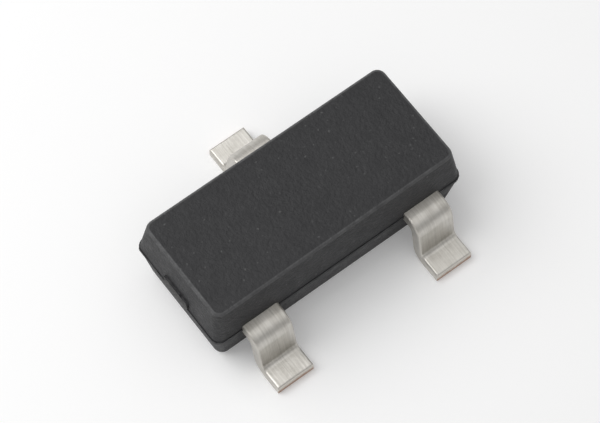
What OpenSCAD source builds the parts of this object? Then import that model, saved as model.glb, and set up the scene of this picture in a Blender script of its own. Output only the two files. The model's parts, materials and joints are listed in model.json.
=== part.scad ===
// Transistor in a three-lead SOT-23 surface-mount package.
// Millimetres. The origin is on the board under the middle of the body.
// +X runs along the body, +Y points to the collector lead and +Z is up from the board.

/* [Moulded body] */
// Length of the body at its parting line
body_length = 2.90; // [2.80:0.02:3.04]
// Width of the body at its parting line
body_width = 1.30; // [1.20:0.02:1.40]
// Height of the upper mould half, from the parting line to the top face
upper_height = 0.47; // [0.42:0.01:0.55]
// Height of the lower mould half, from the underside to the parting line
lower_height = 0.48; // [0.42:0.01:0.55]
// Gap between the board and the underside of the body
standoff = 0.05; // [0.01:0.01:0.10]
// Slope of the side walls, which lets the body leave its mould
draft_angle = 8; // [4:0.5:12]
// Radius of the four upright corners at the parting line
corner_radius = 0.09; // [0.04:0.01:0.20]
// Width of the chamfer round the top face and the underside
face_chamfer = 0.03; // [0.01:0.005:0.06]
// How far the flash stands out of the walls at the parting line
flash_proud = 0.012; // [0.004:0.002:0.03]
// Thickness of the flash at the parting line
flash_thickness = 0.04; // [0.02:0.005:0.08]
// Diameter of the mark that the ejector pin leaves on the underside
ejector_diameter = 0.60; // [0.30:0.05:0.80]
// Depth of the ejector pin's mark
ejector_depth = 0.02; // [0.005:0.005:0.04]
// Width of the stub where the moulding was broken off its gate
gate_width = 0.36; // [0.20:0.02:0.50]
// Height of the gate's stub, up from the parting line
gate_height = 0.13; // [0.06:0.01:0.20]

/* [Leads] */
// Overall width across the tips of the leads
lead_span = 2.40; // [2.30:0.02:2.60]
// Distance between the middles of the base and emitter leads
lead_pitch = 1.90; // [1.80:0.02:2.00]
// Width of each lead
lead_width = 0.42; // [0.37:0.01:0.50]
// Thickness of the lead frame's sheet
lead_thickness = 0.12; // [0.09:0.01:0.15]
// Length of the flat sole of each foot
foot_length = 0.20; // [0.12:0.01:0.26]
// Inside radius of both bends in a lead
bend_radius = 0.06; // [0.04:0.01:0.10]
// Slope of the riser between the two bends, from the board
riser_angle = 80; // [65:1:88]

/* [Lead frame inside the body] */
// Size of the paddle under the chip, along the body
paddle_length = 1.04; // [0.80:0.02:1.10]
// Size of the paddle across the body
paddle_width = 0.64; // [0.56:0.02:0.70]
// Moulding between the collector side of the body and the paddle
paddle_cover = 0.24; // [0.18:0.01:0.30]
// Gap between the paddle and the wire land of each post
frame_gap = 0.16; // [0.10:0.01:0.20]
// Size of each wire land across the body
land_length = 0.38; // [0.24:0.01:0.44]
// Moulding between the base and emitter side of the body and the wire lands
land_cover = 0.22; // [0.16:0.01:0.30]
// Moulding between the end of the body and a wire land
end_cover = 0.23; // [0.16:0.01:0.30]

/* [Chip and wires] */
// Side of the square chip
die_size = 0.40; // [0.30:0.01:0.48]
// Thickness of the chip
die_thickness = 0.13; // [0.10:0.01:0.16]
// Thickness of the solder under the chip
solder_thickness = 0.015; // [0.01:0.005:0.03]
// How far the solder spreads past each side of the chip
solder_margin = 0.025; // [0.01:0.005:0.05]
// Distance of each bond pad from the middle of the chip
pad_offset = 0.10; // [0.06:0.01:0.14]
// Diameter of the bond wires
wire_diameter = 0.03; // [0.02:0.005:0.05]
// Diameter of the ball that bonds a wire to the chip
ball_diameter = 0.08; // [0.06:0.01:0.10]
// Height of the ball bond
ball_height = 0.025; // [0.015:0.005:0.04]
// Height above the chip that a wire's loop is drawn towards
wire_rise = 0.13; // [0.08:0.01:0.16]
// Length of the flattened stitch that bonds a wire to its land
stitch_length = 0.10; // [0.06:0.01:0.14]
// Width of the stitch
stitch_width = 0.06; // [0.04:0.01:0.08]
// Thickness of the stitch
stitch_thickness = 0.012; // [0.008:0.002:0.02]

/* [Hidden] */

// Heights of the stack, from the board up
frame_height = standoff + lower_height;
frame_top = frame_height + lead_thickness / 2;
solder_top = frame_top + solder_thickness;
die_top = solder_top + die_thickness;

// Lead frame in plan
lead_x = lead_pitch / 2;
paddle_y = body_width / 2 - paddle_cover - paddle_width / 2;
land_inner = paddle_length / 2 + frame_gap;
land_outer = body_length / 2 - end_cover;
land_x = (land_inner + land_outer) / 2;
land_y = -body_width / 2 + land_cover + land_length / 2;

// One lead in side view, as distances out from the middle of the body
tip_out = lead_span / 2;
heel_out = tip_out - foot_length;
mid_radius = bend_radius + lead_thickness / 2;
riser_drop = frame_height - lead_thickness / 2 - 2 * mid_radius * (1 - cos(riser_angle));
riser_run = riser_drop / tan(riser_angle);
shoulder_out = heel_out - 2 * mid_radius * sin(riser_angle) - riser_run;
bend_steps = 10;

// Bond wires
wire_sides = 8;
wire_steps = 16;
ball_sides = 12;
stitch_sides = 12;

corner_steps = 32;

// Points on an arc about a centre, from one angle to another
function arc(centre, radius, from, to) =
    [for (i = [0 : bend_steps])
        let (a = from + (to - from) * i / bend_steps)
        centre + radius * [cos(a), sin(a)]];

// Side view of a gull-wing lead, from a point inside the body to its tip
function lead_profile(inner_out) =
    let (
        shoulder = [shoulder_out, frame_height - lead_thickness / 2 - bend_radius],
        heel = [heel_out, lead_thickness + bend_radius],
        outer_radius = bend_radius + lead_thickness
    )
    concat(
        [[inner_out, frame_height - lead_thickness / 2]],
        arc(shoulder, bend_radius, 90, 90 - riser_angle),
        arc(heel, outer_radius, 270 - riser_angle, 270),
        [[tip_out, 0], [tip_out, lead_thickness]],
        arc(heel, bend_radius, 270, 270 - riser_angle),
        arc(shoulder, outer_radius, 90 - riser_angle, 90),
        [[inner_out, frame_height + lead_thickness / 2]]
    );

// How much the body's outline shrinks in X and Y when each of its sides moves in
function shrink(inset) = [1 - 2 * inset / body_length, 1 - 2 * inset / body_width];

// Outline of the body in plan at its parting line, spread by a margin on every side
module body_outline(margin = 0) {
    offset(r = corner_radius + margin, $fn = corner_steps)
        square([body_length - 2 * corner_radius, body_width - 2 * corner_radius], center = true);
}

// A layer of the body whose sides move in from one inset to another as it rises
module narrowing_layer(inset_from, inset_to, height) {
    from = shrink(inset_from);
    to = shrink(inset_to);
    linear_extrude(height, scale = [to[0] / from[0], to[1] / from[1]])
        scale(from)
            body_outline();
}

// One mould half, with its draft and its face's chamfer, from the parting plane up
module mould_half(height) {
    wall_height = height - face_chamfer;
    wall_inset = wall_height * tan(draft_angle);
    narrowing_layer(0, wall_inset, wall_height);
    translate([0, 0, wall_height])
        narrowing_layer(wall_inset, wall_inset + face_chamfer, face_chamfer);
}

// The solid outside of the moulded body, before its pieces are set in it
module body_block() {
    translate([0, 0, frame_height]) {
        mould_half(upper_height);
        mirror([0, 0, 1])
            mould_half(lower_height);
        translate([0, 0, -flash_thickness / 2])
            linear_extrude(flash_thickness)
                body_outline(flash_proud);
        // The gate's stub ends flush with the flash
        translate([-body_length / 2 - flash_proud, -gate_width / 2, 0])
            cube([end_cover, gate_width, gate_height]);
    }
}

// The part of a lead that bends down to the board, running out along +Y
module gull_wing(inner_out) {
    rotate([90, 0, 90])
        linear_extrude(lead_width, center = true)
            polygon(lead_profile(inner_out));
}

// A flat rectangle of the lead frame's sheet, about a middle in plan
module frame_plate(middle, length, width) {
    translate([middle[0] - length / 2, middle[1] - width / 2, frame_top - lead_thickness])
        cube([length, width, lead_thickness]);
}

// A lead whose inner end is a post with a land for its wire, on one side of the body
module post_lead(side) {
    translate([side * lead_x, 0, 0])
        rotate([0, 0, 180])
            gull_wing(-land_y);
    frame_plate([side * land_x, land_y], land_outer - land_inner, land_length);
}

module base_lead() {
    color("silver")
        post_lead(-1);
}

module emitter_lead() {
    color("silver")
        post_lead(1);
}

// The collector's lead, which widens inside the body to the paddle under the chip
module collector_lead() {
    color("silver") {
        gull_wing(paddle_y);
        frame_plate([0, paddle_y], paddle_length, paddle_width);
    }
}

// A square plate on the middle of the die paddle
module on_paddle(side, thickness, z) {
    translate([-side / 2, paddle_y - side / 2, z])
        cube([side, side, thickness]);
}

module chip() {
    color("slategray")
        on_paddle(die_size, die_thickness, solder_top);
}

module chip_solder() {
    color("lightsteelblue")
        on_paddle(die_size + 2 * solder_margin, solder_thickness, frame_top);
}

// A wire's middle line as distance and height, a cubic curve from the ball to the land
function wire_point(run, t) =
    let (u = 1 - t, rise_to = die_top + wire_rise)
    pow(u, 3) * [0, die_top]
    + 3 * u * u * t * [0, rise_to]
    + 3 * u * t * t * [run / 2, rise_to]
    + pow(t, 3) * [run, frame_top];

function wire_slope(run, t) =
    let (u = 1 - t, rise_to = die_top + wire_rise)
    3 * u * u * [0, rise_to - die_top]
    + 6 * u * t * [run / 2, 0]
    + 3 * t * t * [run / 2, frame_top - rise_to];

// The ring of corners round the wire at one place on its middle line
function wire_ring(run, t) =
    let (
        middle = wire_point(run, t),
        slope = wire_slope(run, t) / norm(wire_slope(run, t)),
        radius = wire_diameter / 2
    )
    [for (k = [0 : wire_sides - 1])
        let (a = 360 * (k + 0.5) / wire_sides)
        [
            middle[0] - radius * sin(a) * slope[1],
            radius * cos(a),
            middle[1] + radius * sin(a) * slope[0]
        ]];

// The round wire from the ball to its land, in the XZ plane
module wire_tube(run) {
    corners = [for (i = [0 : wire_steps]) each wire_ring(run, i / wire_steps)];
    last_ring = wire_steps * wire_sides;
    walls = [for (i = [0 : wire_steps - 1], k = [0 : wire_sides - 1])
        let (a = i * wire_sides + k, b = i * wire_sides + (k + 1) % wire_sides)
        [a, b, b + wire_sides, a + wire_sides]];
    start_cap = [for (k = [wire_sides - 1 : -1 : 0]) k];
    end_cap = [for (k = [0 : wire_sides - 1]) last_ring + k];
    polyhedron(corners, concat(walls, [start_cap, end_cap]));
}

// The flattened end of a wire on its land
module stitch() {
    linear_extrude(stitch_thickness)
        polygon([for (k = [0 : stitch_sides - 1])
            let (a = 360 * k / stitch_sides)
            [stitch_length / 2 * cos(a), stitch_width / 2 * sin(a)]]);
}

// A bond wire from its pad on the chip to the land of the post on one side
module bond_wire(side) {
    pad = [side * pad_offset, paddle_y];
    land = [side * land_x, land_y];
    run = norm(land - pad);
    translate(pad)
        rotate([0, 0, atan2(land[1] - pad[1], land[0] - pad[0])])
            difference() {
                union() {
                    translate([0, 0, die_top])
                        cylinder(d = ball_diameter, h = ball_height, $fn = ball_sides);
                    wire_tube(run);
                    translate([run, 0, frame_top])
                        stitch();
                }
                // What would lie below the chip's top face and the land's
                translate([-run, -run, 0])
                    cube([run + ball_diameter, 2 * run, die_top]);
                translate([ball_diameter, -run, 0])
                    cube([2 * run, 2 * run, frame_top]);
            }
}

module base_wire() {
    color("gold")
        bond_wire(-1);
}

module emitter_wire() {
    color("gold")
        bond_wire(1);
}

// The moulding, which fills the space round everything that it holds
module moulded_body() {
    color("#2b2b2d")
        difference() {
            body_block();
            base_lead();
            emitter_lead();
            collector_lead();
            chip();
            chip_solder();
            base_wire();
            emitter_wire();
            translate([0, 0, standoff])
                cylinder(d = ejector_diameter, h = 2 * ejector_depth, center = true, $fn = corner_steps);
        }
}

moulded_body();
base_lead();
emitter_lead();
collector_lead();
chip();
chip_solder();
base_wire();
emitter_wire();
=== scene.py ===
# %% [markdown]
# # A three-legged surface-mount transistor
#
# The real part is smaller than a grain of rice. A strip of sheet metal is stamped into three leads, a
# silicon chip is soldered to the widest of them, two gold wires are bonded from the chip to the other two,
# and black epoxy is moulded round the lot. Then the leads are tinned, bent into feet and cut free.
#
# This lesson makes the pieces in the same order, so the moulding comes last and takes its hollows from what
# it holds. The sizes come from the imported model, which is in metres.

# %% Load the frame
import json
import math

import bmesh
import bpy
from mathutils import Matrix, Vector

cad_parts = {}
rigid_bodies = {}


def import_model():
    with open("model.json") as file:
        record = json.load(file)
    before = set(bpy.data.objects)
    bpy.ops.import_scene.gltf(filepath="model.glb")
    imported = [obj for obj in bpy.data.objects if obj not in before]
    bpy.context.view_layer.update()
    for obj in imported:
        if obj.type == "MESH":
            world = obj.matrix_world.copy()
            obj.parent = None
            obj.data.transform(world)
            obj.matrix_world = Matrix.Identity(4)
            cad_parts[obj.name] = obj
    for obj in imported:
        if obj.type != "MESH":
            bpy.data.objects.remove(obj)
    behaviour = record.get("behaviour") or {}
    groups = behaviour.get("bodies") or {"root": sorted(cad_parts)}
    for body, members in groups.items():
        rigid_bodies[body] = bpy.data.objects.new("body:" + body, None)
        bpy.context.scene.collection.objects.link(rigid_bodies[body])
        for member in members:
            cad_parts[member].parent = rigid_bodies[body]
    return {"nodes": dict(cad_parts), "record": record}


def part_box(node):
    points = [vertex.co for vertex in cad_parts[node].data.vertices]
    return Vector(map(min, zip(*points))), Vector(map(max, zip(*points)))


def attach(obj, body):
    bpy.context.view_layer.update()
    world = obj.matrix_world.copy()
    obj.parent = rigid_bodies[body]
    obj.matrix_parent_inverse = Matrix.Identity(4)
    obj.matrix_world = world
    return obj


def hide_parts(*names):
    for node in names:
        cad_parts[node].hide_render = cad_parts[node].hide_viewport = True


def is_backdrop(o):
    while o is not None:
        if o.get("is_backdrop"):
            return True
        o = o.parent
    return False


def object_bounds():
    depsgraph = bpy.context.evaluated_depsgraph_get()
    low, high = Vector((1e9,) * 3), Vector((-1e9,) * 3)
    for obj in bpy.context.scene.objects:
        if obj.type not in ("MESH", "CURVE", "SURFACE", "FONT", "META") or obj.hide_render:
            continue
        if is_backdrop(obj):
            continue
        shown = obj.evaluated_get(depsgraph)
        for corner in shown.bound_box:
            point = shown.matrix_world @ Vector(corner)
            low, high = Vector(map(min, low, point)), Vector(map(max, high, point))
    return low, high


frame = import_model()
cad_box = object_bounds()
bpy.ops.object.select_all(action="DESELECT")
print("nodes:", ", ".join(sorted(frame["nodes"])))

# %% [markdown]
# ## Working a thousand times life size
#
# Blender's modelling tools have tolerances that suit things between a matchbox and a house. A bevel of a
# hundredth of a millimetre, written in metres, falls below them. So each piece is modelled with one Blender
# unit to the millimetre, and is shrunk to metres when it is finished. The frame's boxes are read in
# millimetres too.

# %% Measure the frame in millimetres
LIFE_SIZE = 0.001


def box_mm(node):
    """The lowest and highest corners of a node, in millimetres."""
    low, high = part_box(node)
    return low / LIFE_SIZE, high / LIFE_SIZE


def mount_mm(name):
    """The place of one of the record's mounts, in millimetres."""
    mount = next(mount for mount in frame["record"]["mounts"] if mount["name"] == name)
    return Vector(mount["pos_m"]) / LIFE_SIZE


body_low, body_high = box_mm("moulded_body")
chip_low, chip_high = box_mm("chip")
solder_low, solder_high = box_mm("chip_solder")
sheet_top = solder_low.z
print(f"body {[round(side, 3) for side in body_high - body_low]} mm, sheet's top at {sheet_top:.3f} mm")

# %% [markdown]
# ## A few tools for the bench
#
# Every piece starts as a primitive, and its faces and edges are then picked by where they are and which way
# they point, as a hand would pick them with the mouse. These helpers do the picking, apply the modifiers and
# shrink the finished piece.

# %% Start a piece
def settle():
    """Put the active object's place, turn and size into its mesh."""
    bpy.ops.object.transform_apply(location=True, rotation=True, scale=True)


def add_block(name, low, high):
    """A box between two corners."""
    low = Vector(low)
    high = Vector(high)
    bpy.ops.object.select_all(action="DESELECT")
    bpy.ops.mesh.primitive_cube_add(size=1, location=(low + high) / 2, scale=high - low)
    settle()
    block = bpy.context.active_object
    block.name = name
    return block


def add_drum(name, middle, length, width, height, sides):
    """An upright drum, round or oval."""
    bpy.ops.object.select_all(action="DESELECT")
    bpy.ops.mesh.primitive_cylinder_add(
        vertices=sides, radius=0.5, depth=1, location=middle, scale=(length, width, height)
    )
    settle()
    drum = bpy.context.active_object
    drum.name = name
    return drum


# %% Pick faces and edges
# A face looks along an axis if more than FACING of its normal does, and stands across it if less than ACROSS
# does. Two places within CLOSE_BY of each other, in millimetres, count as the same.
FACING = 0.9
ACROSS = 0.5
CLOSE_BY = 1e-4


def pick_faces(piece, test):
    """In edit mode, refresh the normals and select only the faces whose middle and normal pass the test."""
    bpy.ops.mesh.select_mode(type="FACE")
    bpy.ops.mesh.select_all(action="DESELECT")
    mesh = bmesh.from_edit_mesh(piece.data)
    mesh.normal_update()
    for face in mesh.faces:
        face.select_set(bool(test(face.calc_center_median(), face.normal)))
    bmesh.update_edit_mesh(piece.data)


def pick_edges(piece, test):
    """In edit mode, refresh the normals and select only the edges whose two ends pass the test."""
    bpy.ops.mesh.select_mode(type="EDGE")
    bpy.ops.mesh.select_all(action="DESELECT")
    mesh = bmesh.from_edit_mesh(piece.data)
    mesh.normal_update()
    for edge in mesh.edges:
        if test(edge.verts[0].co, edge.verts[1].co):
            edge.select_set(True)
    bmesh.update_edit_mesh(piece.data)


def slice_at(place, direction):
    """In edit mode, cut what is selected with a plane, and keep both halves."""
    bpy.ops.mesh.bisect(plane_co=place, plane_no=direction)


def paint_picked(piece, material_slot):
    """In edit mode, give the selected faces one of the piece's materials."""
    piece.active_material_index = material_slot
    bpy.ops.object.material_slot_assign()


def pick_painted(piece, material_slot):
    """In edit mode, select only the faces that have one of the piece's materials."""
    bpy.ops.mesh.select_all(action="DESELECT")
    piece.active_material_index = material_slot
    bpy.ops.object.material_slot_select()


# %% Apply modifiers and finish a piece
MERGE_DISTANCE = 1e-5
SMOOTH_ANGLE = math.radians(40)


def mend_normals():
    """In edit mode, merge the points that coincide and turn every face outwards."""
    bpy.ops.mesh.select_all(action="SELECT")
    bpy.ops.mesh.remove_doubles(threshold=MERGE_DISTANCE)
    bpy.ops.mesh.normals_make_consistent(inside=False)


def take_hold(piece):
    """Make the piece the only selected object, and the active one."""
    bpy.ops.object.select_all(action="DESELECT")
    piece.select_set(True)
    bpy.context.view_layer.objects.active = piece


def use_modifier(piece, kind, **settings):
    """Add a modifier to the piece, set it and apply it."""
    take_hold(piece)
    bpy.ops.object.modifier_add(type=kind)
    modifier = piece.modifiers[-1]
    for setting, value in settings.items():
        setattr(modifier, setting, value)
    bpy.ops.object.modifier_apply(modifier=modifier.name)


def finish_piece(piece, node):
    """Shade the piece, shrink it to life size and let it stand for its node in the frame."""
    take_hold(piece)
    bpy.ops.object.shade_smooth_by_angle(angle=SMOOTH_ANGLE)
    use_modifier(piece, "WEIGHTED_NORMAL", keep_sharp=True)
    piece.scale = (LIFE_SIZE, LIFE_SIZE, LIFE_SIZE)
    settle()
    piece.data.name = piece.name
    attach(piece, "root")
    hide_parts(node)
    print(f"{piece.name}: {len(piece.data.polygons)} faces, stands for {node}")


# %% [markdown]
# ## Nodes for the finishes
#
# All the finishes read Object coordinates, which are metres here. One Mapping node turns them into
# millimetres, so a texture's scale says how many grains there are to a millimetre. The small helpers below
# each add one kind of node, so that a finish reads like a recipe.

# %% Start a finish
def feed(tree, socket, value):
    """Set a socket to a plain value, or link another node's output to it."""
    if isinstance(value, bpy.types.NodeSocket):
        tree.links.new(value, socket)
    else:
        socket.default_value = value


def add_node(tree, kind, **inputs):
    """Add a node and feed its inputs by name."""
    node = tree.nodes.new(kind)
    for name, value in inputs.items():
        feed(tree, node.inputs[name], value)
    return node


def stretch(tree, vector, scale):
    """The same coordinates, scaled along each axis."""
    return add_node(tree, "ShaderNodeMapping", Vector=vector, Scale=scale).outputs["Vector"]


def new_finish(name):
    """A material, with its node tree, its shader and the object's coordinates in millimetres."""
    finish = bpy.data.materials.new(name)
    finish.use_nodes = True
    tree = finish.node_tree
    metres = add_node(tree, "ShaderNodeTexCoord").outputs["Object"]
    millimetres = stretch(tree, metres, (1 / LIFE_SIZE, 1 / LIFE_SIZE, 1 / LIFE_SIZE))
    return finish, tree, tree.nodes["Principled BSDF"], millimetres


def count_nodes(finish):
    """Print how many nodes a finish is made of."""
    print(f"{finish.name}: {len(finish.node_tree.nodes)} nodes")


# %% Measure, add and compare in a finish
# Most of a noise lies within this span.
NOISE_SPAN = (0.3, 0.7)


def axis_of(tree, vector, axis):
    """One of the three coordinates."""
    return add_node(tree, "ShaderNodeSeparateXYZ", Vector=vector).outputs[axis]


def grain(tree, vector, scale, detail=3.0, roughness=0.55):
    """Noise between 0 and 1."""
    noise = add_node(
        tree, "ShaderNodeTexNoise", Vector=vector, Scale=scale, Detail=detail, Roughness=roughness
    )
    return noise.outputs["Fac"]


def reckon(tree, operation, first, second=0.0):
    """One sum, product or comparison."""
    node = tree.nodes.new("ShaderNodeMath")
    node.operation = operation
    feed(tree, node.inputs[0], first)
    feed(tree, node.inputs[1], second)
    return node.outputs["Value"]


def spread(tree, value, from_low, from_high, to_low, to_high):
    """Spread one range of values over another, without leaving it."""
    node = tree.nodes.new("ShaderNodeMapRange")
    bounds = {
        "Value": value,
        "From Min": from_low,
        "From Max": from_high,
        "To Min": to_low,
        "To Max": to_high,
    }
    for name, bound in bounds.items():
        feed(tree, node.inputs[name], bound)
    return node.outputs["Result"]


# %% Colour and dent a finish
def tint(tree, share, first, second):
    """The first colour where the share is 0 and the second where it is 1."""
    node = tree.nodes.new("ShaderNodeMix")
    node.data_type = "RGBA"
    colours = [socket for socket in node.inputs if socket.type == "RGBA"]
    feed(tree, node.inputs["Factor"], share)
    for socket, colour in zip(colours, (first, second)):
        feed(tree, socket, colour if isinstance(colour, bpy.types.NodeSocket) else (*colour, 1))
    return next(socket for socket in node.outputs if socket.type == "RGBA")


def dent(tree, shader, height, depth_mm, strength):
    """Let a height between 0 and 1 tilt the shader's normal, as relief of that depth would."""
    bump = add_node(
        tree, "ShaderNodeBump", Height=height, Strength=strength, Distance=depth_mm * LIFE_SIZE
    )
    feed(tree, shader.inputs["Normal"], bump.outputs["Normal"])


# %% [markdown]
# ## Finish: matte tin
#
# The leads are plated with matte tin. Under a lens it is a warm grey with a fine crystalline grain, and with
# lines along the strip where the sheet was rolled and the bending tool wiped it. Close to the body the tin
# is painted darker and made rougher: painted shade in the crease where the lead leaves the body. It is a
# metal, so its colour is all in the reflection, and most of its character is in how the roughness wanders.

# %% Make the tin
BRIGHT_TIN = (0.66, 0.64, 0.60)
WORN_AND_SHADED_TIN = (0.46, 0.44, 0.40)
CLOUDS_PER_MM = 6.0
CRYSTALS_PER_MM = 55.0
LINES_PER_MM = 52.0
LINE_BREAKS_PER_MM = 1.8
WEAR_SPAN = (0.72, 1.28)
WORN_SHARE = 0.75
# Painted shade near the body: how much it darkens the tin, and over what width in millimetres.
NEAR_BODY_SHADE_SHARE = 0.45
NEAR_BODY_SHADE_BAND = 0.12
TIN_ROUGHNESS = (0.35, 0.55)


def matte_tin(shade_from_mm, shade_to_mm):
    """Plated tin, darkened near the body as painted shade that fades out between two distances from the
    part's middle.
    """
    finish, tree, shader, mm = new_finish("matte_tin")
    cloud = grain(tree, mm, CLOUDS_PER_MM)
    crystals = grain(tree, mm, CRYSTALS_PER_MM, detail=2.0)
    along_strip = stretch(tree, mm, (LINES_PER_MM, LINE_BREAKS_PER_MM, LINE_BREAKS_PER_MM))
    wiped = grain(tree, along_strip, 1.0)
    from_middle = reckon(tree, "ABSOLUTE", axis_of(tree, mm, "Y"))
    # Painted shade: the tin is darkened and roughened close to the body, where the lead leaves it.
    near_body_shade = spread(tree, from_middle, shade_from_mm, shade_to_mm, NEAR_BODY_SHADE_SHARE, 0.0)
    worn = spread(tree, reckon(tree, "ADD", cloud, wiped), *WEAR_SPAN, 0.0, WORN_SHARE)
    wear_and_shade = reckon(tree, "ADD", worn, near_body_shade)
    feed(tree, shader.inputs["Base Color"], tint(tree, wear_and_shade, BRIGHT_TIN, WORN_AND_SHADED_TIN))
    shader.inputs["Metallic"].default_value = 1.0
    gloss = spread(tree, reckon(tree, "ADD", wear_and_shade, crystals), 0.3, 1.6, *TIN_ROUGHNESS)
    feed(tree, shader.inputs["Roughness"], gloss)
    relief = reckon(tree, "ADD", reckon(tree, "MULTIPLY", crystals, 0.5), wiped)
    dent(tree, shader, relief, depth_mm=0.003, strength=0.6)
    return finish


tin = matte_tin(shade_from_mm=body_high.y, shade_to_mm=body_high.y + NEAR_BODY_SHADE_BAND)
count_nodes(tin)

# %% [markdown]
# ## Finish: the cut tips
#
# The cut that frees the part comes after plating, so the end of each foot shows the bare copper alloy, with
# shear lines down it and tin dragged over its upper edge by the blade.

# %% Make the cut copper
SHEET = 0.12
DARK_COPPER = (0.34, 0.215, 0.155)
PALE_COPPER = (0.54, 0.39, 0.30)
DRAGGED_TIN = (0.64, 0.61, 0.56)
SHEAR_LINES_PER_MM = 60.0
DRAGS_PER_MM = 13.0
DRAG_WANDER = 0.07
DRAG_FADE_FROM = 0.045
DRAG_FADE_TO = 0.015
COPPER_ROUGHNESS = (0.36, 0.58)


def cut_copper(top_mm):
    """The sheared end of a foot whose upper surface is at the given height."""
    finish, tree, shader, mm = new_finish("cut_copper")
    shear = grain(tree, stretch(tree, mm, (SHEAR_LINES_PER_MM, 1.0, 6.0)), 1.0)
    drag = grain(tree, stretch(tree, mm, (DRAGS_PER_MM, 1.0, 1.0)), 1.0, detail=2.0)
    wander = reckon(tree, "MULTIPLY", drag, DRAG_WANDER)
    ragged_height = reckon(tree, "ADD", axis_of(tree, mm, "Z"), wander)
    dragged = spread(tree, ragged_height, top_mm - DRAG_FADE_FROM, top_mm - DRAG_FADE_TO, 0.0, 1.0)
    sheared = tint(tree, shear, DARK_COPPER, PALE_COPPER)
    feed(tree, shader.inputs["Base Color"], tint(tree, dragged, sheared, DRAGGED_TIN))
    shader.inputs["Metallic"].default_value = 1.0
    feed(tree, shader.inputs["Roughness"], spread(tree, shear, *NOISE_SPAN, *COPPER_ROUGHNESS))
    dent(tree, shader, shear, depth_mm=0.006, strength=0.6)
    return finish


copper = cut_copper(top_mm=SHEET)
count_nodes(copper)

# %% [markdown]
# ## The leads
#
# Each lead is one piece of sheet. Inside the body it is a flat plate: a land for a bond wire, or the paddle
# that carries the chip. From the plate a narrower strip runs out, turns down at the shoulder, and turns out
# again into the foot. It could be a side view extruded to the strip's width, but folding is how the press
# makes it: the strip's end is extruded straight, and spun round the centre of each bend, and its thickness
# stays true by itself.

# %% Sizes of the leads
STRIP_WIDTH = 0.42
BEND_RADIUS = 0.06
RISER_ANGLE = math.radians(80)
SOLE_LENGTH = 0.20
BEND_STEPS = 14

parting = sheet_top - SHEET / 2
tip_out = box_mm("collector_lead")[1].y
heel_out = tip_out - SOLE_LENGTH
bend_middle = BEND_RADIUS + SHEET / 2
riser_drop = parting - SHEET / 2 - 2 * bend_middle * (1 - math.cos(RISER_ANGLE))
riser_run = riser_drop / math.tan(RISER_ANGLE)
shoulder_out = heel_out - 2 * bend_middle * math.sin(RISER_ANGLE) - riser_run
print(f"shoulder bends {shoulder_out:.3f} mm out, heel {heel_out:.3f} mm, tip at {tip_out:.3f} mm")


# %% Fold a lead out of its plate
def run_strip_out(plate, strip_x, way):
    """Extrude the strip from the plate's outer edge to the shoulder; way is 1 towards +Y, -1 towards -Y."""
    for side in (-1, 1):
        bpy.ops.mesh.select_all(action="SELECT")
        slice_at((strip_x + side * STRIP_WIDTH / 2, 0, 0), (1, 0, 0))
    pick_faces(
        plate,
        lambda middle, normal: normal.y * way > FACING and abs(middle.x - strip_x) < STRIP_WIDTH / 4,
    )
    mesh = bmesh.from_edit_mesh(plate.data)
    edge_y = next(face.calc_center_median().y for face in mesh.faces if face.select)
    bpy.ops.mesh.extrude_region_move(TRANSFORM_OT_translate={"value": (0, way * shoulder_out - edge_y, 0)})


def fold_foot(strip_x, way):
    """Spin the strip's end down at the shoulder, run it down the riser, and spin it level into the sole."""
    shoulder = (strip_x, way * shoulder_out, parting - bend_middle)
    heel = (strip_x, way * heel_out, SHEET + BEND_RADIUS)
    bpy.ops.mesh.spin(steps=BEND_STEPS, angle=way * RISER_ANGLE, center=shoulder, axis=(1, 0, 0))
    bpy.ops.mesh.extrude_region_move(TRANSFORM_OT_translate={"value": (0, way * riser_run, -riser_drop)})
    bpy.ops.mesh.spin(steps=BEND_STEPS, angle=-way * RISER_ANGLE, center=heel, axis=(1, 0, 0))
    bpy.ops.mesh.extrude_region_move(TRANSFORM_OT_translate={"value": (0, way * SOLE_LENGTH, 0)})


# %% [markdown]
# Stamping leaves its mark on the edges. The side that the punch enters is rolled over softly, and the other
# side is nearly sharp. So the outline of the upper surface gets a wide bevel by hand, and a narrow Bevel
# modifier then breaks every edge that is still sharp.

# %% Break the edges of a stamped lead
ROLLED_EDGE = 0.024
BROKEN_EDGE = 0.006
BROKEN_ANGLE = math.radians(35)
TURNED_UP = 0.1
TIP_SLOT = 1


def roll_upper_edges(lead):
    """In edit mode, round the outline of the surface that faced the punch."""
    pick_faces(lead, lambda middle, normal: normal.z > TURNED_UP)
    bpy.ops.mesh.region_to_loop()
    bpy.ops.mesh.bevel(offset=ROLLED_EDGE, segments=4, affect="EDGES")


def make_lead(name, plate_low, plate_high, strip_x, way):
    """A whole lead, from its plate to its tip."""
    lead = add_block(name, plate_low, plate_high)
    lead.data.materials.append(tin)
    lead.data.materials.append(copper)
    bpy.ops.object.mode_set(mode="EDIT")
    run_strip_out(lead, strip_x, way)
    fold_foot(strip_x, way)
    mend_normals()
    pick_faces(lead, lambda middle, normal: abs(middle.y - way * tip_out) < CLOSE_BY)
    paint_picked(lead, TIP_SLOT)
    roll_upper_edges(lead)
    bpy.ops.object.mode_set(mode="OBJECT")
    use_modifier(
        lead, "BEVEL", width=BROKEN_EDGE, segments=2, limit_method="ANGLE", angle_limit=BROKEN_ANGLE
    )
    return lead


# %% Make the three leads
LAND_LENGTH = 0.38
PADDLE_WIDTH = 0.64

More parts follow.
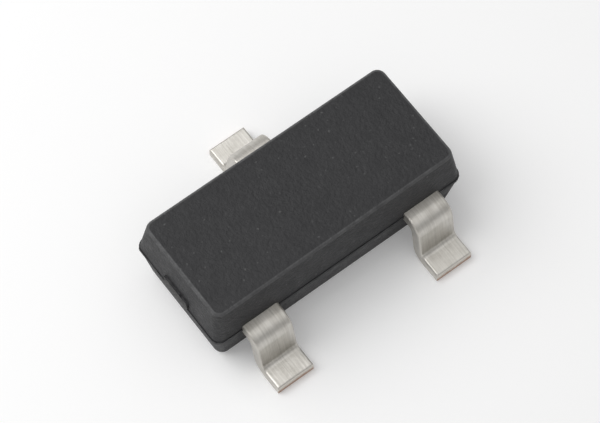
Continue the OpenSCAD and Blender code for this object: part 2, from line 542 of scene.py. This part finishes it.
leads = {}
for node, mount in (("base_lead", "base_foot"), ("emitter_lead", "emitter_foot")):
    low, high = box_mm(node)
    land_low = (low.x, high.y - LAND_LENGTH, parting - SHEET / 2)
    land_high = (high.x, high.y, sheet_top)
    name = node.replace("lead", "leg")
    leads[node] = make_lead(name, land_low, land_high, mount_mm(mount).x, -1)
low, high = box_mm("collector_lead")
paddle_low = (low.x, low.y, parting - SHEET / 2)
paddle_high = (high.x, low.y + PADDLE_WIDTH, sheet_top)
strip_x = mount_mm("collector_foot").x
leads["collector_lead"] = make_lead("collector_leg", paddle_low, paddle_high, strip_x, 1)
for lead in leads.values():
    print(f"{lead.name}: {len(lead.data.polygons)} faces, {lead.dimensions.y:.3f} mm from plate to tip")

# %% [markdown]
# ## The solder
#
# The solder under the chip spread a little past it and froze with a sloping edge and round corners. It is
# sealed in, but a bench that splits the part open would show it, so it gets its own form and finish.

# %% Finish the solder
DULL_SOLDER = (0.42, 0.43, 0.44)
PALE_SOLDER = (0.62, 0.62, 0.61)
FROST_PER_MM = 40.0
SOLDER_ROUGHNESS = (0.35, 0.60)


def frozen_solder():
    """Solder with the frosted skin that it froze with."""
    finish, tree, shader, mm = new_finish("frozen_solder")
    frost = grain(tree, mm, FROST_PER_MM, detail=4.0)
    feed(tree, shader.inputs["Base Color"], tint(tree, frost, DULL_SOLDER, PALE_SOLDER))
    shader.inputs["Metallic"].default_value = 1.0
    feed(tree, shader.inputs["Roughness"], spread(tree, frost, *NOISE_SPAN, *SOLDER_ROUGHNESS))
    dent(tree, shader, frost, depth_mm=0.004, strength=0.6)
    return finish


frosted = frozen_solder()
count_nodes(frosted)

# %% Make the solder
SLOPE_IN = 0.012
SOLDER_CORNER = 0.05

solder = add_block("die_solder", solder_low, solder_high)
solder.data.materials.append(frosted)
solder_size = solder_high - solder_low
bpy.ops.object.mode_set(mode="EDIT")
pick_faces(solder, lambda middle, normal: normal.z > FACING)
bpy.ops.transform.resize(
    value=(1 - 2 * SLOPE_IN / solder_size.x, 1 - 2 * SLOPE_IN / solder_size.y, 1),
    center_override=(solder_low + solder_high) / 2,
)
pick_edges(solder, lambda start, end: abs(start.z - end.z) > solder_size.z / 2)
bpy.ops.mesh.bevel(offset=SOLDER_CORNER, segments=5, affect="EDGES")
bpy.ops.object.mode_set(mode="OBJECT")
print(f"{solder.name}: {len(solder.data.polygons)} faces")

# %% [markdown]
# ## The chip
#
# The chip is a square of silicon, sawn from a wafer. Its top is polished and carries aluminium: a pad for
# each wire, and fine fingers between them. Those are far thinner than a hair, so they belong in the finish,
# and only the sawn edges are modelled.

# %% Finish the silicon
BALL_DIAMETER = 0.08
PAD_SIDE = 0.12
FINGERS_PER_MM = 40
FINGER_CREST = 0.2
SAW_LINES_PER_MM = 110.0
SAWN_EDGE = 0.006
DARK_SILICON = (0.055, 0.062, 0.075)
PALE_SILICON = (0.095, 0.100, 0.112)
ALUMINIUM = (0.55, 0.55, 0.54)
SILICON_ROUGHNESS = (0.14, 0.32)

pad_offset = box_mm("emitter_wire")[0].x + BALL_DIAMETER / 2
chip_middle = (chip_low + chip_high) / 2


def within(tree, value, middle, half_width):
    """1 where the value is near the middle, 0 elsewhere."""
    away = reckon(tree, "ABSOLUTE", reckon(tree, "SUBTRACT", value, middle))
    return reckon(tree, "LESS_THAN", away, half_width)


def sawn_silicon():
    """Silicon with sawn sides, and with aluminium pads and fingers on its polished top."""
    finish, tree, shader, mm = new_finish("sawn_silicon")
    saw_lines = grain(tree, stretch(tree, mm, (4.0, 4.0, SAW_LINES_PER_MM)), 1.0)
    from_middle = reckon(tree, "ABSOLUTE", axis_of(tree, mm, "X"))
    along = axis_of(tree, mm, "Y")
    on_top = reckon(tree, "GREATER_THAN", axis_of(tree, mm, "Z"), chip_high.z - SAWN_EDGE / 2)
    pad = reckon(
        tree,
        "MULTIPLY",
        within(tree, from_middle, pad_offset, PAD_SIDE / 2),
        within(tree, along, chip_middle.y, PAD_SIDE / 2),
    )
    wave = reckon(tree, "SINE", reckon(tree, "MULTIPLY", along, FINGERS_PER_MM * 2 * math.pi))
    finger = reckon(
        tree,
        "MULTIPLY",
        reckon(tree, "GREATER_THAN", wave, FINGER_CREST),
        within(tree, from_middle, 0.0, pad_offset),
    )
    metal = reckon(tree, "MULTIPLY", on_top, reckon(tree, "MAXIMUM", pad, finger))
    sawn = tint(tree, saw_lines, DARK_SILICON, PALE_SILICON)
    feed(tree, shader.inputs["Base Color"], tint(tree, metal, sawn, ALUMINIUM))
    shader.inputs["Metallic"].default_value = 0.6
    feed(tree, shader.inputs["Roughness"], spread(tree, saw_lines, *NOISE_SPAN, *SILICON_ROUGHNESS))
    return finish


silicon = sawn_silicon()
count_nodes(silicon)

# %% Make the chip
chip = add_block("silicon_die", chip_low, chip_high)
chip.data.materials.append(silicon)
use_modifier(chip, "BEVEL", width=SAWN_EDGE, segments=1, limit_method="ANGLE")
print(f"{chip.name}: {len(chip.data.polygons)} faces, bond pads {pad_offset:.3f} mm from its middle")

# %% [markdown]
# ## The bond wires
#
# A bond wire starts as a ball that is squashed onto its pad, rises, loops over and comes down to the land,
# where the tool flattens it into a stitch. A Bezier curve with a round section is the natural way to draw
# the loop. It is made a mesh and united with the ball and the stitch, so each wire is one closed piece.
# The gold was drawn through a die, so it is bright, and its grain only unsettles the colour a little.

# %% Finish the gold
DEEP_GOLD = (0.84, 0.58, 0.20)
PALE_GOLD = (0.95, 0.72, 0.34)
GOLD_GRAINS_PER_MM = 90.0
GOLD_ROUGHNESS = (0.16, 0.30)


def drawn_gold():
    """Bright wire with a grain too fine to see singly."""
    finish, tree, shader, mm = new_finish("drawn_gold")
    grains = grain(tree, mm, GOLD_GRAINS_PER_MM)
    feed(tree, shader.inputs["Base Color"], tint(tree, grains, DEEP_GOLD, PALE_GOLD))
    shader.inputs["Metallic"].default_value = 1.0
    feed(tree, shader.inputs["Roughness"], spread(tree, grains, *NOISE_SPAN, *GOLD_ROUGHNESS))
    return finish


gold = drawn_gold()
count_nodes(gold)

# %% Draw a bond wire
WIRE_DIAMETER = 0.03
LOOP_RISE = 0.13
LOOP_STEPS = 24
BALL_HEIGHT = 0.025
BOND_SIDES = 32
BOND_RIM_SHARE = 0.35
STITCH_LENGTH = 0.10
STITCH_WIDTH = 0.06
STITCH_THICKNESS = 0.012


def draw_loop(run, start_z, end_z):
    """A wire in the XZ plane that rises straight, bends over and comes down at the given distance."""
    bpy.ops.object.select_all(action="DESELECT")
    bpy.ops.curve.primitive_bezier_curve_add()
    loop = bpy.context.active_object
    start, end = loop.data.splines[0].bezier_points
    for point in (start, end):
        point.handle_left_type = "FREE"
        point.handle_right_type = "FREE"
    start.co = (0, 0, start_z)
    start.handle_left = (0, 0, start_z - LOOP_RISE)
    start.handle_right = (0, 0, start_z + LOOP_RISE)
    end.co = (run, 0, end_z)
    end.handle_left = (run / 2, 0, start_z + LOOP_RISE)
    end.handle_right = (run * 1.5, 0, end_z)
    loop.data.resolution_u = LOOP_STEPS
    loop.data.bevel_depth = WIRE_DIAMETER / 2
    loop.data.bevel_resolution = 3
    loop.data.use_fill_caps = True
    bpy.ops.object.convert(target="MESH")
    return bpy.context.active_object


def add_bond(wire, middle, length, width, height):
    """Unite the wire with a flattened drum that has round rims."""
    bond = add_drum("bond", middle, length, width, height, BOND_SIDES)
    use_modifier(bond, "BEVEL", width=height * BOND_RIM_SHARE, segments=3, limit_method="ANGLE")
    use_modifier(wire, "BOOLEAN", operation="UNION", solver="EXACT", object=bond)
    bpy.data.objects.remove(bond)


def draw_wire(name, pad, land):
    """One wire from a pad on the chip to a land."""
    run = (land - pad).to_2d().length
    wire = draw_loop(run, pad.z, land.z)
    wire.name = name
    bpy.ops.object.mode_set(mode="EDIT")
    mend_normals()
    bpy.ops.mesh.bisect(plane_co=(0, 0, land.z), plane_no=(0, 0, 1), clear_inner=True, use_fill=True)
    bpy.ops.object.mode_set(mode="OBJECT")
    add_bond(wire, (0, 0, pad.z + BALL_HEIGHT / 2), BALL_DIAMETER, BALL_DIAMETER, BALL_HEIGHT)
    add_bond(wire, (run, 0, land.z + STITCH_THICKNESS / 2), STITCH_LENGTH, STITCH_WIDTH, STITCH_THICKNESS)
    take_hold(wire)
    wire.rotation_euler.z = math.atan2(land.y - pad.y, land.x - pad.x)
    wire.location = (pad.x, pad.y, 0)
    settle()
    return wire


# %% Make the two wires
wires = {}
for node, lead_node, side in (("base_wire", "base_lead", -1), ("emitter_wire", "emitter_lead", 1)):
    low, high = box_mm(lead_node)
    pad = Vector((side * pad_offset, chip_middle.y, chip_high.z))
    land = Vector(((low.x + high.x) / 2, high.y - LAND_LENGTH / 2, sheet_top))
    wire = draw_wire(node.replace("wire", "bond"), pad, land)
    wire.data.materials.clear()
    wire.data.materials.append(gold)
    wires[node] = wire
    print(f"{wire.name}: {len(wire.data.polygons)} faces")

# %% [markdown]
# ## Finish: moulding compound
#
# The epoxy is loaded with powdered silica and carbon black. It leaves the mould charcoal rather than black,
# with the fine pitted skin of the spark-eroded mould wall, and with a grain of silica showing here and
# there. The rims, which rub against everything, are smoother and lighter: partly real wear, and partly a
# painted highlight along the rims. An attribute on the mesh says where they are.

# %% Make the moulding compound
CHARCOAL = (0.017, 0.017, 0.0185)
PALE_CHARCOAL = (0.026, 0.026, 0.0275)
PITTED_SKIN = (0.040, 0.040, 0.042)
SILICA = (0.13, 0.13, 0.13)
# Paler skin on the rims: partly real wear, partly a painted highlight along the rims.
RUBBED_AND_HIGHLIT_SKIN = (0.085, 0.085, 0.087)
RIM_WEAR_AND_HIGHLIGHT = "rubbed_and_highlit"
RUBBED_SMOOTHER = 0.16
PITS_PER_MM = 26.0
SWELLS_PER_MM = 7.0
TONES_PER_MM = 1.3
SILICA_PER_MM = 15.0
WOBBLES_PER_MM = 60.0
SILICA_WOBBLE = 0.03
EPOXY_ROUGHNESS = (0.50, 0.70)


def silica_grains(tree, mm):
    """How pale the skin is with silica: round grains with uneven outlines, some fainter than others."""
    wobble = add_node(tree, "ShaderNodeTexNoise", Vector=mm, Scale=WOBBLES_PER_MM).outputs["Color"]
    uneven = tree.nodes.new("ShaderNodeVectorMath")
    uneven.operation = "MULTIPLY_ADD"
    reach = (SILICA_WOBBLE, SILICA_WOBBLE, SILICA_WOBBLE)
    for socket, value in zip(uneven.inputs, (wobble, reach, mm)):
        feed(tree, socket, value)
    cells = add_node(tree, "ShaderNodeTexVoronoi", Vector=uneven.outputs["Vector"], Scale=SILICA_PER_MM)
    round_grain = spread(tree, cells.outputs["Distance"], 0.08, 0.20, 1.0, 0.0)
    pale = spread(tree, axis_of(tree, cells.outputs["Color"], "X"), 0.4, 1.0, 0.0, 0.55)
    return reckon(tree, "MULTIPLY", round_grain, pale)


def moulding_compound():
    """Pitted charcoal epoxy with silica in it, paler and smoother on the worn rims, which also carry a
    painted highlight.
    """
    finish, tree, shader, mm = new_finish("moulding_compound")
    pits = grain(tree, mm, PITS_PER_MM, detail=4.0, roughness=0.62)
    swell = grain(tree, mm, SWELLS_PER_MM)
    attribute = tree.nodes.new("ShaderNodeAttribute")
    attribute.attribute_name = RIM_WEAR_AND_HIGHLIGHT
    rubbed_and_highlit = reckon(tree, "MULTIPLY", attribute.outputs["Fac"], spread(tree, swell, 0.3, 0.6, 0.4, 1.0))
    charcoal = tint(tree, grain(tree, mm, TONES_PER_MM), CHARCOAL, PALE_CHARCOAL)
    pitted = tint(tree, spread(tree, pits, 0.45, 0.75, 0.0, 0.7), charcoal, PITTED_SKIN)
    dusted = tint(tree, silica_grains(tree, mm), pitted, SILICA)
    # Painted highlight: the marked rims are tinted lighter, together with their real wear.
    feed(tree, shader.inputs["Base Color"], tint(tree, rubbed_and_highlit, dusted, RUBBED_AND_HIGHLIT_SKIN))
    matte = spread(tree, reckon(tree, "ADD", pits, swell), 0.7, 1.3, *EPOXY_ROUGHNESS)
    smoother = reckon(tree, "MULTIPLY", rubbed_and_highlit, RUBBED_SMOOTHER)
    feed(tree, shader.inputs["Roughness"], reckon(tree, "SUBTRACT", matte, smoother))
    shader.inputs["Specular IOR Level"].default_value = 0.4
    relief = reckon(tree, "ADD", pits, reckon(tree, "MULTIPLY", swell, 0.6))
    dent(tree, shader, relief, depth_mm=0.018, strength=0.8)
    return finish


epoxy = moulding_compound()
count_nodes(epoxy)

# %% [markdown]
# Two small places differ. The gate's stub is broken, not moulded, so its face is lighter and rougher. The
# ejector pin was turned on a lathe, and it leaves a smooth disc with faint rings.

# %% Make the broken and the pressed epoxy
DARK_BREAK = (0.028, 0.028, 0.029)
PALE_BREAK = (0.12, 0.118, 0.115)
CRUMBS_PER_MM = 45.0
CRUMB_SPAN = (0.35, 0.65)
BREAK_ROUGHNESS = (0.72, 0.90)
PRESSED = (0.014, 0.014, 0.015)
PRESSED_RING = (0.020, 0.020, 0.021)
RING_SCALE = 9.0
PRESSED_ROUGHNESS = (0.34, 0.44)


def broken_epoxy():
    """Crumbly epoxy, as a break leaves it."""
    finish, tree, shader, mm = new_finish("broken_epoxy")
    crumbs = grain(tree, mm, CRUMBS_PER_MM, detail=5.0, roughness=0.7)
    paleness = spread(tree, crumbs, *CRUMB_SPAN, 0.0, 1.0)
    feed(tree, shader.inputs["Base Color"], tint(tree, paleness, DARK_BREAK, PALE_BREAK))
    feed(tree, shader.inputs["Roughness"], spread(tree, crumbs, *NOISE_SPAN, *BREAK_ROUGHNESS))
    dent(tree, shader, crumbs, depth_mm=0.015, strength=0.9)
    return finish


def pin_mark():
    """Smooth epoxy with the rings of the turned pin."""
    finish, tree, shader, mm = new_finish("pin_mark")
    turned = add_node(tree, "ShaderNodeTexWave", Vector=mm, Scale=RING_SCALE, Distortion=0.6)
    turned.wave_type = "RINGS"
    turned.rings_direction = "Z"
    rings = turned.outputs["Fac"]
    feed(tree, shader.inputs["Base Color"], tint(tree, rings, PRESSED, PRESSED_RING))
    feed(tree, shader.inputs["Roughness"], spread(tree, rings, 0.0, 1.0, *PRESSED_ROUGHNESS))
    dent(tree, shader, rings, depth_mm=0.002, strength=0.5)
    return finish


broken = broken_epoxy()
pressed = pin_mark()
count_nodes(broken)
count_nodes(pressed)

# %% [markdown]
# ## The moulding
#
# The epoxy is shot into a mould of two halves, which meet in the plane of the leads. Both halves have
# drafted walls, so that the part drops out. The block starts as a cube, is cut at the parting plane, and its
# top and underside are scaled in. Then the upright corners are rounded, and after them the rims of the two
# faces.

# %% Draft and round the block
DRAFT = math.radians(8)
CORNER_RADIUS = 0.09
RIM_RADIUS = 0.03
FLASH_PROUD = 0.012

flash_margin = Vector((FLASH_PROUD, FLASH_PROUD, 0))
block_low = body_low + flash_margin
block_high = body_high - flash_margin
moulding = add_block("epoxy_moulding", block_low, block_high)
moulding.data.materials.append(epoxy)
moulding.data.materials.append(broken)
bpy.ops.object.mode_set(mode="EDIT")
bpy.ops.mesh.select_all(action="SELECT")
slice_at((0, 0, parting), (0, 0, 1))
for face_z, way in ((body_high.z, 1), (body_low.z, -1)):
    inset = abs(face_z - parting) * math.tan(DRAFT)
    pick_faces(moulding, lambda middle, normal: normal.z * way > FACING)
    bpy.ops.transform.resize(
        value=(1 - inset / block_high.x, 1 - inset / block_high.y, 1), center_override=(0, 0, face_z)
    )
pick_edges(moulding, lambda start, end: abs(start.z - end.z) > RIM_RADIUS)
bpy.ops.mesh.bevel(offset=CORNER_RADIUS, segments=8, affect="EDGES")
for face_z in (body_high.z, body_low.z):
    pick_edges(moulding, lambda start, end: max(abs(start.z - face_z), abs(end.z - face_z)) < CLOSE_BY)
    bpy.ops.mesh.bevel(offset=RIM_RADIUS, segments=5, affect="EDGES")
print(f"the draft takes {inset:.3f} mm off each side of the underside")

# %% [markdown]
# Where the halves of the mould meet, a hair of epoxy squeezes out: the flash. On one end the gate, through
# which the epoxy flowed in, leaves a stub that was broken off flush with it. Cuts mark out the band and the
# stub, and more cuts divide both into short steps. Then they are pushed out together, so that no faces are
# left between them. They stop a little short of the frame's box, because both are roughened next.

# %% Mark out the flash and the gate's stub
FLASH_THICKNESS = 0.04
GATE_WIDTH = 0.36
GATE_HEIGHT = 0.13
FLASH_STEP = GATE_WIDTH / 6
CORNER_TURN = 0.01

flash_low = parting - FLASH_THICKNESS / 2
flash_high = parting + FLASH_THICKNESS / 2
gate_high = parting + GATE_HEIGHT


def on_gate_end(middle, normal):
    """The wall at the gate's end, above the parting plane and without its rounded corners."""
    return normal.x < -FACING and abs(normal.y) < CORNER_TURN and middle.z > parting


def on_flash(middle, normal):
    """The band round the block in which the flash is."""
    return flash_low < middle.z < flash_high and abs(normal.z) < ACROSS


def on_gate(middle, normal):
    """The face of the gate's stub, above the flash."""
    return normal.x < -FACING and abs(middle.y) < GATE_WIDTH / 2 and flash_high < middle.z < gate_high


def on_flash_or_gate(middle, normal):
    """The band of the flash or the face of the stub."""
    return on_flash(middle, normal) or on_gate(middle, normal)


def slice_across(direction):
    """Cut the band and the stub into steps along one direction, and stop before the rounded corners."""
    straight = block_high.dot(direction) - CORNER_RADIUS
    steps = int(straight / FLASH_STEP - 0.5)
    for step in range(-steps, steps + 1):
        pick_faces(moulding, on_flash_or_gate)
        slice_at(direction * step * FLASH_STEP, direction)


for cut_z in (flash_low, flash_high):
    bpy.ops.mesh.select_all(action="SELECT")
    slice_at((0, 0, cut_z), (0, 0, 1))
pick_faces(moulding, on_gate_end)
slice_at((0, 0, gate_high), (0, 0, 1))
for side in (-1, 1):
    pick_faces(moulding, on_gate_end)
    slice_at((0, side * GATE_WIDTH / 2, 0), (0, 1, 0))
for direction in (Vector((1, 0, 0)), Vector((0, 1, 0))):
    slice_across(direction)
pick_faces(moulding, on_flash_or_gate)
print(f"flash and stub: {moulding.data.total_face_sel} faces")

# %% Push out the flash and the stub
FLASH_NIBBLE = 0.004

push = (FLASH_PROUD - FLASH_NIBBLE) * math.cos(DRAFT)
bpy.ops.mesh.extrude_region_shrink_fatten(
    TRANSFORM_OT_shrink_fatten={"value": push, "use_even_offset": True}
)
print(f"pushed out by {push:.4f} mm")

# %% [markdown]
# Neither is tidy on the real part. The stub's face is flattened and subdivided, its outline is chipped
# within the face's own plane, and after a second subdivision the face is roughened. The edge of the flash is
# nibbled in the same way. All of this is random, and it would bend a face with four corners, so the faces
# that it reaches are made triangles first.

# %% Chip the outline of the stub
BROKEN_SLOT = 1
BREAK_DEPTH = 0.005
OUTLINE_CUTS = 1
OUTLINE_CHIP = 0.02
CHIP_SEED = 8

broken_x = body_low.x + BREAK_DEPTH
chips_from_z = flash_high + OUTLINE_CHIP


def on_flank(middle, normal):
    """The sides and the top of the stub, between its face and the wall."""
    beside = abs(middle.y) < GATE_WIDTH / 2 + OUTLINE_CHIP
    above = chips_from_z < middle.z < gate_high + OUTLINE_CHIP
    return beside and above and abs(normal.x) < ACROSS


def on_outline(place):
    """Whether a point is on the outline of the stub's face, clear of the flash."""
    on_face = abs(place.x - broken_x) < CLOSE_BY and place.z > chips_from_z
    at_side = abs(abs(place.y) - GATE_WIDTH / 2) < CLOSE_BY
    at_top = place.z > gate_high - CLOSE_BY
    return on_face and (at_side or at_top)


def flatten_picked():
    """In edit mode, bring what is selected back into the plane of the stub's face."""
    bpy.ops.transform.resize(value=(0, 1, 1), center_override=(broken_x, 0, 0))


pick_faces(moulding, on_gate)
paint_picked(moulding, BROKEN_SLOT)
flatten_picked()
bpy.ops.mesh.subdivide(number_cuts=OUTLINE_CUTS)
pick_faces(moulding, on_flank)
bpy.ops.mesh.quads_convert_to_tris()
pick_edges(moulding, lambda start, end: on_outline(start) and on_outline(end))
bpy.ops.transform.vertex_random(offset=OUTLINE_CHIP, seed=CHIP_SEED)
flatten_picked()
print(f"the stub's face is {block_low.x - broken_x:.3f} mm proud of the block")

# %% Roughen the face of the stub
FACE_CUTS = 2
BREAK_SEED = 5

pick_painted(moulding, BROKEN_SLOT)
bpy.ops.mesh.subdivide(number_cuts=FACE_CUTS)
pick_painted(moulding, BROKEN_SLOT)
bpy.ops.mesh.quads_convert_to_tris()
bpy.ops.mesh.select_less()
bpy.ops.transform.vertex_random(offset=BREAK_DEPTH, normal=1.0, seed=BREAK_SEED)
print(f"roughened by up to {BREAK_DEPTH} mm")

# %% Nibble the edge of the flash
NIBBLE_SEED = 3


def beyond_block(place):
    """How far a point lies outside the block's rounded outline at the parting plane."""
    corner = Vector((abs(place.x) - block_high.x, abs(place.y) - block_high.y))
    corner += Vector((CORNER_RADIUS, CORNER_RADIUS))
    reach = corner.length if min(corner) > 0 else max(corner)
    return reach - CORNER_RADIUS


def within_flash(place):
    """Whether a point is in the flash, neither above it nor below it."""
    level = flash_low - CLOSE_BY < place.z < flash_high + CLOSE_BY
    return level and beyond_block(place) > FLASH_PROUD / 8


pick_faces(moulding, lambda middle, normal: within_flash(middle))
bpy.ops.mesh.quads_convert_to_tris()
pick_edges(moulding, lambda start, end: within_flash(start) and within_flash(end))
bpy.ops.transform.vertex_random(offset=FLASH_NIBBLE, normal=1.0, seed=NIBBLE_SEED)
bpy.ops.object.mode_set(mode="OBJECT")
print(f"{moulding.name}: {len(moulding.data.polygons)} faces with its flash and gate")

# %% [markdown]
# The ejector pin that pushes the part out of the mould leaves a shallow round mark in the underside. A drum
# with a rounded rim is subtracted, and its own finish is carried over to the faces that it leaves.

# %% Press in the ejector's mark
MARK_DIAMETER = 0.60
MARK_DEPTH = 0.02
MARK_SIDES = 64

pin = add_drum("pin", (0, 0, body_low.z), MARK_DIAMETER, MARK_DIAMETER, 2 * MARK_DEPTH, MARK_SIDES)
pin.data.materials.append(pressed)
use_modifier(pin, "BEVEL", width=MARK_DEPTH / 3, segments=2, limit_method="ANGLE")
use_modifier(
    moulding, "BOOLEAN", operation="DIFFERENCE", solver="EXACT", object=pin, material_mode="TRANSFER"
)
bpy.data.objects.remove(pin)
print(f"{moulding.name}: {[finish.name for finish in moulding.data.materials]}")

# %% [markdown]
# Last, the epoxy flows round everything else, so every other piece is subtracted from it. Then the points on
# the rounded rims are marked, for their wear and for a painted highlight.

# %% Take out the hollows
for piece in (*leads.values(), solder, chip, *wires.values()):
    use_modifier(moulding, "BOOLEAN", operation="DIFFERENCE", solver="EXACT", object=piece)
print(f"{moulding.name}: {len(moulding.data.polygons)} faces with its hollows")

# %% Mark the rims for wear and a painted highlight
RIM_MARK_DEPTH = RIM_RADIUS * 0.8

# The mark carries both the rims' wear and their painted highlight.
rubbed_and_highlit = moulding.data.attributes.new(RIM_WEAR_AND_HIGHLIGHT, "FLOAT", "POINT")
for vertex, mark in zip(moulding.data.vertices, rubbed_and_highlit.data):
    from_top = body_high.z - vertex.co.z
    from_underside = vertex.co.z - body_low.z
    mark.value = 1.0 if CLOSE_BY < min(from_top, from_underside) < RIM_MARK_DEPTH else 0.0
print(f"{sum(mark.value > 0 for mark in rubbed_and_highlit.data)} of {len(rubbed_and_highlit.data)} points are rubbed")

# %% [markdown]
# ## Life size
#
# All the pieces are done, so each is shaded and shrunk. Weighted normals keep the flat faces flat, although
# they run smoothly into their rounded edges.

# %% Shrink the pieces to life size
for node, lead in leads.items():
    finish_piece(lead, node)
finish_piece(solder, "chip_solder")
finish_piece(chip, "chip")
for node, wire in wires.items():
    finish_piece(wire, node)
finish_piece(moulding, "moulded_body")

# %% [markdown]
# ## The floor
#
# A plain white sheet. It is lit like anything else, so it takes the part's shadow, and a little light of
# its own, which only the eye and the reflections see, lifts it to white. The lamp is close to the part and
# lights only the middle of the sheet, so the lift grows beyond it.

# %% Lay the floor
PAPER = (0.88, 0.88, 0.88, 1)
WHITE = (1, 1, 1, 1)
FLOOR_SIDE = 0.24
FLOOR_LIFT = 0.16
FAR_LIFT = 0.55
LIT_RADIUS = 0.015
FAR_RADIUS = 0.045


def seen_directly(tree):
    """1 for rays from the camera, or by way of a reflection or a clear body; 0 for scattered light."""
    path = tree.nodes.new("ShaderNodeLightPath").outputs
    mirrored = reckon(tree, "MAXIMUM", path["Is Glossy Ray"], path["Is Transmission Ray"])
    return reckon(tree, "MAXIMUM", path["Is Camera Ray"], mirrored)


def white_sheet():
    """Matte paper with a little light of its own, more of it far from the middle."""
    finish = bpy.data.materials.new("white_sheet")
    finish.use_nodes = True
    tree = finish.node_tree
    shader = tree.nodes["Principled BSDF"]
    shader.inputs["Base Color"].default_value = PAPER
    shader.inputs["Roughness"].default_value = 0.9
    shader.inputs["Emission Color"].default_value = WHITE
    away = tree.nodes.new("ShaderNodeVectorMath")
    away.operation = "LENGTH"
    feed(tree, away.inputs["Vector"], add_node(tree, "ShaderNodeTexCoord").outputs["Object"])
    lift = spread(tree, away.outputs["Value"], LIT_RADIUS, FAR_RADIUS, FLOOR_LIFT, FAR_LIFT)
    feed(tree, shader.inputs["Emission Strength"], reckon(tree, "MULTIPLY", seen_directly(tree), lift))
    return finish


bpy.ops.object.select_all(action="DESELECT")
bpy.ops.mesh.primitive_plane_add(size=FLOOR_SIDE)
floor = bpy.context.active_object
floor.name = "floor"
floor.data.materials.append(white_sheet())
floor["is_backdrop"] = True
print(f"{floor.name}: {FLOOR_SIDE / LIFE_SIZE:.0f} mm square")

# %% [markdown]
# ## The light
#
# A dome of pale light, and one large soft lamp high on the left. The dome is white at the horizon and
# overhead, with a grey band between them, as in a studio with a white sweep and a white ceiling. Without the
# band the bends of the leads would have nothing to reflect but white, and would look like paper.

# %% Set the dome
GREY_BAND = 0.30
SWEEP_FADE = (0.06, 0.25)
CEILING_FADE = (0.50, 0.90)
DOME_SHARE = 0.74

dome = bpy.data.worlds.new("dome")
dome.use_nodes = True
bpy.context.scene.world = dome
tree = dome.node_tree
height = axis_of(tree, add_node(tree, "ShaderNodeTexCoord").outputs["Generated"], "Z")
sweep = spread(tree, height, *SWEEP_FADE, 1.0, GREY_BAND)
ceiling = spread(tree, height, *CEILING_FADE, GREY_BAND, 1.0)
brightness = reckon(tree, "MAXIMUM", sweep, ceiling)
share = spread(tree, seen_directly(tree), 0.0, 1.0, DOME_SHARE, 1.0)
background = tree.nodes["Background"]
background.inputs["Color"].default_value = WHITE
feed(tree, background.inputs["Strength"], reckon(tree, "MULTIPLY", brightness, share))
print(f"{dome.name}: {len(tree.nodes)} nodes")

# %% Hang the lamp
LAMP_DIRECTION = Vector((-0.42, 0.46, 0.78))
LAMP_DISTANCE = 0.032
LAMP_SIDE = 0.029
LAMP_WATTS = 0.0066

bpy.ops.object.light_add(type="AREA", location=LAMP_DIRECTION.normalized() * LAMP_DISTANCE)
lamp = bpy.context.active_object
lamp.name = "soft_lamp"
lamp.rotation_euler = LAMP_DIRECTION.to_track_quat("Z", "Y").to_euler()
lamp.data.size = LAMP_SIDE
lamp.data.energy = LAMP_WATTS
print(f"{lamp.name}: {LAMP_SIDE / LIFE_SIZE:.0f} mm square, {LAMP_DISTANCE / LIFE_SIZE:.0f} mm away")

# %% [markdown]
# ## The camera
#
# The camera looks down steeply on one corner, from far enough away that the part's sides stay nearly
# parallel.

# %% Place the camera
AZIMUTH = math.radians(-37)
ELEVATION = math.radians(66)
LENS_MM = 150
VIEW_WIDTH = 0.0057

bpy.ops.object.camera_add()
camera = bpy.context.active_object
camera.name = "camera"
camera.data.lens = LENS_MM
distance = VIEW_WIDTH * LENS_MM / camera.data.sensor_width
towards_camera = Vector((
    math.sin(AZIMUTH) * math.cos(ELEVATION),
    -math.cos(AZIMUTH) * math.cos(ELEVATION),
    math.sin(ELEVATION),
))
middle = (cad_box[0] + cad_box[1]) / 2
camera.location = middle + towards_camera * distance
camera.rotation_euler = towards_camera.to_track_quat("Z", "Y").to_euler()
camera.data.clip_start = distance / 10
camera.data.clip_end = distance * 20
bpy.context.scene.camera = camera
bpy.context.scene.view_settings.view_transform = "Standard"
print(f"the camera stands {distance / LIFE_SIZE:.1f} mm away")

# %% [markdown]
# ## The boxes
#
# The finished pieces have to keep within the box that they started from, so both boxes are written down.

# %% Print the boxes
visual_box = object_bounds()
for name, (low, high) in (("CAD", cad_box), ("visual", visual_box)):
    print(f"{name} box: {[round(side / LIFE_SIZE, 3) for side in high - low]} mm")
